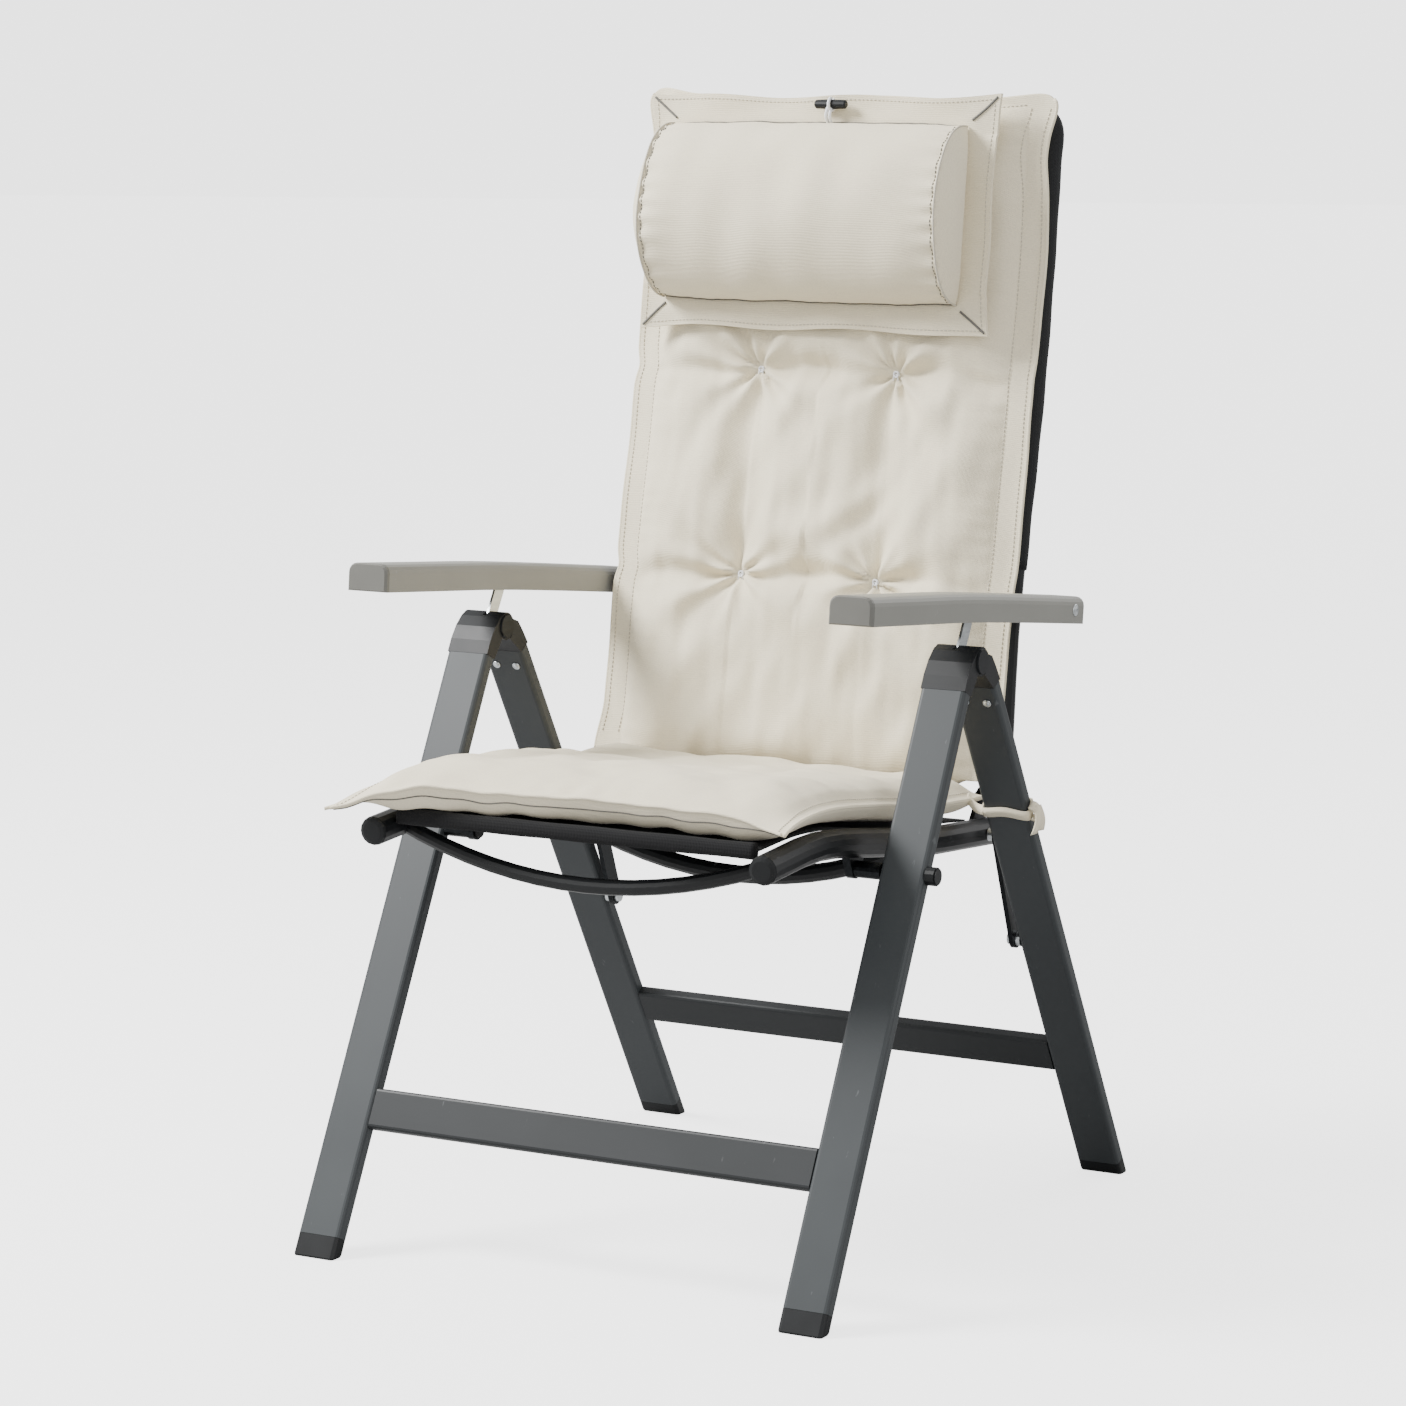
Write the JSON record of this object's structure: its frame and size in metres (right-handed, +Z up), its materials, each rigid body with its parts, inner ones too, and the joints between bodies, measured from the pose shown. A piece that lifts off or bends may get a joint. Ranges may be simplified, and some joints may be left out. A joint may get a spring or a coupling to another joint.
{
  "type": "folding chair",
  "caption": "Folding reclining high-back chair with A-frame flat-tube legs, channel armrests, fabric slings, and a padded seat, back and head cushion.",
  "frame": {"origin": "Middle of the footprint, on the floor under the feet.", "axes": "+Z up, the sitter faces -Y, and X = 0 is the plane the frame is symmetric about, so the sitter's left is +X."},
  "size_m": [0.592, 0.7036, 1.1088],
  "materials": {
    "frame_paint": "satin dark grey powder coat on flat aluminium tube",
    "tube_paint": "satin near-black powder coat on round tube",
    "black_plastic": "fine-grained moulded plastic",
    "armrest_paint": "light grey satin coat on a channel section",
    "bolt_steel": "zinc-plated bolt and rivet heads",
    "dark_steel": "black oxide plate and flat bar",
    "sling_cloth": "black woven mesh",
    "cushion_cloth": "cream woven cotton blend"
  },
  "bodies": {
    "front_frame": {"front_leg_left": "frame_paint", "front_leg_right": "frame_paint", "front_foot_left": "black_plastic", "front_foot_right": "black_plastic", "front_knuckle_left": "black_plastic", "front_knuckle_right": "black_plastic", "knuckle_pin_left": "dark_steel", "knuckle_pin_right": "dark_steel", "seat_pivot_bolt_left": "black_plastic", "seat_pivot_bolt_right": "black_plastic", "front_crossbar": "frame_paint"},
    "rear_frame": {"rear_leg_left": "frame_paint", "rear_leg_right": "frame_paint", "rear_foot_left": "black_plastic", "rear_foot_right": "black_plastic", "rear_knuckle_left": "black_plastic", "rear_knuckle_right": "black_plastic", "link_foot_bolt_left": "bolt_steel", "link_foot_bolt_right": "bolt_steel", "rear_crossbar": "frame_paint"},
    "tongues": {"armrest_tongue_left": "bolt_steel", "armrest_tongue_right": "bolt_steel"},
    "links": {"folding_link_left": "dark_steel", "folding_link_right": "dark_steel", "link_head_bolt_left": "bolt_steel", "link_head_bolt_right": "bolt_steel"},
    "seat": {"seat_rail_left": "tube_paint", "seat_rail_right": "tube_paint", "seat_rail_cap_left": "black_plastic", "seat_rail_cap_right": "black_plastic", "seat_bracket_left": "dark_steel", "seat_bracket_right": "dark_steel", "hinge_plate_left": "dark_steel", "hinge_plate_right": "dark_steel", "front_seat_brace": "tube_paint", "rear_seat_brace": "tube_paint", "seat_sling": "sling_cloth", "seat_cushion": "cushion_cloth"},
    "back_hinge": {"hinge_bolt_left": "bolt_steel", "hinge_bolt_right": "bolt_steel"},
    "back": {"back_rail_left": "tube_paint", "back_rail_right": "tube_paint", "back_top_rail": "tube_paint", "back_sling": "sling_cloth", "back_cushion": "cushion_cloth", "head_pillow": "cushion_cloth", "pillow_toggle": "black_plastic"},
    "armrest_bolts": {"armrest_bolt_left": "bolt_steel", "armrest_bolt_right": "bolt_steel"},
    "armrest_bushes": {"armrest_bush_left": "black_plastic", "armrest_bush_right": "black_plastic"},
    "armrest_left": {"armrest_left": "armrest_paint", "armrest_cap_left": "armrest_paint", "armrest_rack_left": "black_plastic"},
    "armrest_right": {"armrest_right": "armrest_paint", "armrest_cap_right": "armrest_paint", "armrest_rack_right": "black_plastic"}
  },
  "joints": [
    {"name": "fold", "type": "hinge", "parent": "front_frame", "child": "rear_frame", "pos_m": [0, -0.0312, 0.578], "axis": [-1, 0, 0], "range_deg": [0, 57], "deforming": ["seat_cushion", "back_cushion"]},
    {"name": "seat_fold", "type": "hinge", "parent": "front_frame", "child": "seat", "pos_m": [0, -0.144, 0.39], "axis": [-1, 0, 0], "range_deg": [0, 93.73]},
    {"name": "tongue_swing", "type": "hinge", "parent": "front_frame", "child": "tongues", "pos_m": [0, -0.0312, 0.578], "axis": [-1, 0, 0], "range_deg": [0, 100.1]},
    {"name": "link_swing", "type": "hinge", "parent": "rear_frame", "child": "links", "pos_m": [0, 0.1766, 0.2715], "axis": [-1, 0, 0], "range_deg": [0, 142.07]},
    {"name": "back_fold", "type": "hinge", "parent": "seat", "child": "back_hinge", "pos_m": [0, 0.1798, 0.41], "axis": [1, 0, 0], "range_deg": [0, 76.73]},
    {"name": "recline", "type": "hinge", "parent": "back_hinge", "child": "back", "pos_m": [0, 0.1798, 0.41], "axis": [-1, 0, 0], "range_deg": [0, 35]},
    {"name": "armrest_slide_turn", "type": "hinge", "parent": "back", "child": "armrest_bolts", "pos_m": [0, 0.1988, 0.6035], "axis": [1, 0, 0], "range_deg": [0, 28.7]},
    {"name": "armrest_fold", "type": "hinge", "parent": "armrest_bolts", "child": "armrest_bushes", "pos_m": [0, 0.1988, 0.6035], "axis": [-1, 0, 0], "range_deg": [0, 100.6]},
    {"name": "armrest_left_lift", "type": "hinge", "parent": "armrest_bushes", "child": "armrest_left", "pos_m": [0, 0.1988, 0.6035], "axis": [-1, 0, 0], "range_deg": [0, 12]},
    {"name": "armrest_right_lift", "type": "hinge", "parent": "armrest_bushes", "child": "armrest_right", "pos_m": [0, 0.1988, 0.6035], "axis": [-1, 0, 0], "range_deg": [0, 12]}
  ],
  "couplings": [
    {"joint": "seat_fold", "follows": "fold", "ratio": 1.6426},
    {"joint": "tongue_swing", "follows": "fold", "ratio": 1.7544},
    {"joint": "link_swing", "follows": "fold", "ratio": 2.4907},
    {"joint": "back_fold", "follows": "fold", "ratio": 1.3444},
    {"joint": "armrest_fold", "follows": "fold", "ratio": 1.7632},
    {"joint": "armrest_slide_turn", "follows": "recline", "ratio": 0.817}
  ]
}
